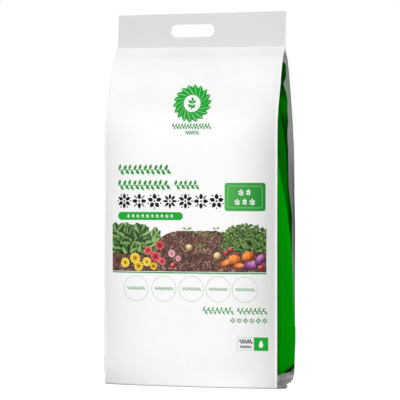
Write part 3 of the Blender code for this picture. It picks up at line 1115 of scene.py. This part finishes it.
left_hedge, right_hedge = (-105, -42, 158, 190), (42, 99, 162, 192)
shades = [hedge_shade(picture_left, -46.0, *left_hedge), hedge_shade(48.0, picture_right, *right_hedge)]
shade_ink = ink_of("dark_green_picture_ink", "#16260F", "#101C0B", 0.08)
lay_print("picture_hedge_shade", drawn(shades), shade_ink, 0.16)
foliage_ink = picture_ink("foliage_picture_ink", "#0E1D08", "#33591F", "#8FB25C")
dark_foliage_ink = picture_ink("dark_foliage_picture_ink", "#0B1C07", "#305F22", "#A2C076")
broad_leaves = [
    toned_leaf("broad_leaf_a", 12.5, 9.0, 0.1, 0.5),
    toned_leaf("broad_leaf_b", 10.0, 7.0, -0.15, 0.5),
]
small_leaves = [
    toned_leaf("small_leaf_a", 5.6, 4.0, 0.2, 0.6),
    toned_leaf("small_leaf_b", 4.6, 3.4, -0.1, 0.6),
]
for side, count, outline, leaves, ink, seed, sides in (
    ("left", 130, left_hedge, broad_leaves, dark_foliage_ink, 3, (-94.3, 200)),
    ("right", 330, right_hedge, small_leaves, foliage_ink, 4, (-200, 96.2)),
):
    spots = hedge_spots(count, seed + 8, *outline)
    strew_print(f"picture_{side}_hedge", spots, leaves, ink, seed=seed, layers=0.2, sides=sides)
crops = {
    "pumpkin": ((19, 15.5, 4), ("#6E2A06", "#E87722", "#FFC27A")),
    "squash": ((8.5, 18, 2), ("#7A3208", "#EE8436", "#FFC896")),
    "aubergine": ((11.5, 20), ("#33122E", "#8A3D86", "#DDA6D6")),
    "apple": ((10, 9.4), ("#4E0508", "#C4202B", "#FF9B90")),
    "onion": ((9.6, 9.0, 3), ("#8A6A3C", "#E2C68E", "#FFF4D6")),
}
crop_spots = {
    "pumpkin": [(57.0, 151.5, 0.86, 8), (73.5, 156.0, 0.8, -10)],
    "squash": [(45.5, 147.5, 0.95, 62), (61.0, 144.6, 0.8, 80)],
    "aubergine": [(75.0, 145.6, 0.95, 74), (86.6, 151.8, 0.78, 28)],
    "apple": [(88.0, 143.4, 0.72, 0), (52.5, 164.5, 0.62, 0), (47.0, 160.2, 0.6, 0), (-19.0, 145.0, 0.6, 0)],
    "onion": [(36.0, 156.5, 1.0, 0), (1.0, 166.0, 0.9, 20)],
}
for crop, (form, colours) in crops.items():
    ink = picture_ink(f"{crop}_picture_ink", *colours)
    strew_print(f"picture_{crop}s", crop_spots[crop], [fruit(crop, *form)], ink, lift=0.46, layers=0.05)
flowers = {
    "yellow_daisies": (
        (6.6, 11),
        ("#9A6206", "#F0C51E", "#FFEE78"),
        [
            (-79, 147.5, 0.9, 0), (-66.5, 153, 1.0, 10), (-62, 143.6, 0.9, 20), (-51.5, 148.6, 0.85, 0),
            (-43, 143.5, 0.7, 5),
        ],
    ),
    "red_zinnias": (
        (6.4, 8, 0.2),
        ("#5A0710", "#D22338", "#F98A8F"),
        [(-50, 162, 0.85, 0), (-40.5, 155, 0.95, 12), (-35.5, 168.5, 0.9, 30), (-32.5, 149.5, 0.7, 7)],
    ),
    "pink_asters": (
        (5.2, 13, 0.24),
        ("#B9862E", "#E58CAB", "#FCD9E2"),
        [(-20.5, 158.8, 0.85, 0), (-12.5, 153.0, 0.65, 9)],
    ),
}
for name, (form, colours, spots) in flowers.items():
    ink = picture_ink(f"{name}_picture_ink", *colours)
    motifs = [bloom(name, *form)]
    strew_print(f"picture_{name}", spots, motifs, ink, swing=20, seed=6, lift=0.46, layers=0.05)
seedling = motif(
    "seedling",
    [
        (-0.35, 0, 0.5), (0.35, 0, 0.5), (0.25, 7, 0.6), (-0.25, 7, 0.6),
        (0, 6.6, 0.7), (3.2, 10.2, 0.75), (6.6, 9.6, 0.9), (4.2, 6.9, 0.4),
        (-3.0, 9.4, 0.75), (-6.0, 8.2, 0.9), (-3.6, 6.2, 0.4),
    ],
    [(0, 1, 2, 3), (4, 5, 6, 7), (4, 8, 9, 10)],
)
spots = [
    (12, 176.5, 1.0, 0), (25.5, 172.5, 1.1, 0), (-3, 181.0, 0.9, 0), (33.5, 183.5, 0.7, 0),
    (16.5, 158.5, 1.25, 0),
]
strew_print("picture_seedlings", spots, [seedling], foliage_ink, spread=0.1, swing=8, seed=9, lift=0.4)
ground = [(picture_left, 135.3), (picture_right, 135.3), (picture_right, 136.8), (picture_left, 136.8)]
lay_print("picture_ground_line", drawn([ground]), text_green)


# The rings: five thin circles in a row under the picture, in pale ink, each with a short vine across
# its middle.
ring_centres = (-65.4, -30.5, 3.6, 36.8, 69.1)
rings = [ring(x, 116.8, r, 56) for x in ring_centres for r in (15.4, 14.9)]
lay_print("ring_lines", drawn(rings), ink_of("pale_ring_flexo_ink", "#9CC79F", "#93C096"))
ring_vines = [spot for x in ring_centres for spot in vine_spots(x - 11.5, x + 11.5, 116.8, 0.42)]
strew_print("ring_vines", ring_vines, slim_vines, text_green)


# The lower right: two vines end to end, a row of small rosettes and a label in two halves. The label's
# left half is an outline round two short vines, and its right half is solid ink with a drop on it.
closing_vines = vine_spots(17.7, 55.0, 91.4, 0.82) + vine_spots(59.5, 94.6, 91.4, 0.82)
strew_print("closing_vines", closing_vines, slim_vines, text_green)
small_rosettes = [
    rosette("small_rosette", 3.5, 6, 1.3, 0.0, False),
    rosette("small_cross", 3.5, 4, 1.6, 0.7, False),
]
closing_row = [(54.6 + 7.6 * i, 80.3, 1.0, 0) for i in range(6)]
strew_print("closing_rosettes", closing_row, small_rosettes, text_green)
lay_print("label_green_half", drawn([rounded(79.8, 96.6, 44.8, 60.7, 0.5)]), bright_green)
outline = [rounded(59.9, 79.8, 44.8, 60.7, 0.6), rounded(60.4, 79.3, 45.3, 60.2, 0.4)]
lay_print("label_outline", drawn(outline), pale_line)
label_vines = vine_spots(62.2, 77.6, 55.6, 0.44) + vine_spots(63.0, 76.5, 49.2, 0.32)
strew_print("label_vines", label_vines, vines, text_black)
turns = [math.tau * i / 28 for i in range(28)]
drop = [(88.2 + 3.4 * math.sin(a) * math.sin(a / 2) ** 1.2, 53.0 + 4.6 * math.cos(a)) for a in turns]
lay_print("label_drop", drawn([drop]), white_ink, 0.24)


# The floor, the light and the camera. The floor is white paper that shows as plain white but keeps
# its shadow, and is clear from below. The light is soft, from the front left, as in a product picture,
# and the camera stands where the photograph was taken from.
def studio_floor():
    mesh = bmesh.new()
    bmesh.ops.create_grid(mesh, x_segments=1, y_segments=1, size=60.0)
    bmesh.ops.translate(mesh, verts=mesh.verts, vec=(0, 0, -0.1 * MM))
    return placed("floor", finished(mesh, "floor"))


def background_seen(tree):
    """1 where the background itself shows: to the camera, and in what is glossy or clear."""
    rays = node(tree, "ShaderNodeLightPath").outputs
    seen = rays["Is Camera Ray"]
    for kind in ("Is Glossy Ray", "Is Transmission Ray"):
        seen = sum_of(tree, "MAXIMUM", seen, rays[kind])
    return seen


floor = studio_floor()
paper = bpy.data.materials.new("white_floor_paper")
paper.use_nodes = True
tree = paper.node_tree
plain = tree.nodes["Principled BSDF"]
plain.inputs["Base Color"].default_value = linear("#969696")
plain.inputs["Roughness"].default_value = 0.9
glow = node(tree, "ShaderNodeEmission", Color=linear("#FFFFFF"), Strength=0.93)
added = node(tree, "ShaderNodeAddShader", _0=plain.outputs[0], _1=glow.outputs[0])
seen = background_seen(tree)
shown = node(tree, "ShaderNodeMixShader", _0=seen, _1=plain.outputs[0], _2=added.outputs[0])
clear = node(tree, "ShaderNodeBsdfTransparent")
under = node(tree, "ShaderNodeNewGeometry").outputs["Backfacing"]
either = node(tree, "ShaderNodeMixShader", _0=under, _1=shown.outputs[0], _2=clear.outputs[0])
tree.links.new(either.outputs[0], tree.nodes["Material Output"].inputs["Surface"])
floor.data.materials.append(paper)

world = bpy.data.worlds.new("studio")
bpy.context.scene.world = world
world.use_nodes = True
tree = world.node_tree
plain = node(tree, "ShaderNodeBackground", Color=linear("#FFFFFF"), Strength=0.12)
white = node(tree, "ShaderNodeBackground", Color=linear("#FFFFFF"), Strength=1.0)
shown = node(tree, "ShaderNodeMixShader", _0=background_seen(tree), _1=plain.outputs[0], _2=white.outputs[0])
tree.links.new(shown.outputs[0], tree.nodes["World Output"].inputs["Surface"])


def aimed(name, lamp, azimuth, elevation, distance=0.0):
    """Aims a lamp at the middle of the bag, from a direction in degrees."""
    a, e = math.radians(azimuth), math.radians(elevation)
    away = Vector((math.sin(a) * math.cos(e), -math.cos(a) * math.cos(e), math.sin(e)))
    holder = placed(name, lamp)
    holder.location = Vector((0, 0, total_height / 2)) + away * distance
    holder.rotation_mode = "QUATERNION"
    holder.rotation_quaternion = (-away).to_track_quat("-Z", "Y")


def softbox(name, azimuth, elevation, distance, size, power):
    """A square area lamp."""
    lamp = bpy.data.lights.new(name, "AREA")
    lamp.shape = "SQUARE"
    lamp.size = size
    lamp.energy = power
    aimed(name, lamp, azimuth, elevation, distance)


def window(name, azimuth, elevation, strength, spread):
    """Even light from far off, as from a tall window, its spread in degrees."""
    lamp = bpy.data.lights.new(name, "SUN")
    lamp.energy = strength
    lamp.angle = math.radians(spread)
    aimed(name, lamp, azimuth, elevation)


window("key_window", -14, 20, 2.43, 22)
window("fill_window", 14, 10, 0.45, 10)
softbox("side_softbox", 138, 20, 3.0, 0.22, 60)

camera_azimuth = 16.5
camera_distance = 2.466
camera_height = 246.5 * MM
camera_drop = 0.564
camera = placed("camera", bpy.data.cameras.new("camera"))
camera.data.sensor_width = 36
camera.data.lens = 183
turn = math.radians(camera_azimuth)
camera.location = (camera_distance * math.sin(turn), -camera_distance * math.cos(turn), camera_height)
camera.rotation_euler = (math.radians(90 - camera_drop), 0, turn)
bpy.context.scene.camera = camera
bpy.context.scene.view_settings.view_transform = "Standard"
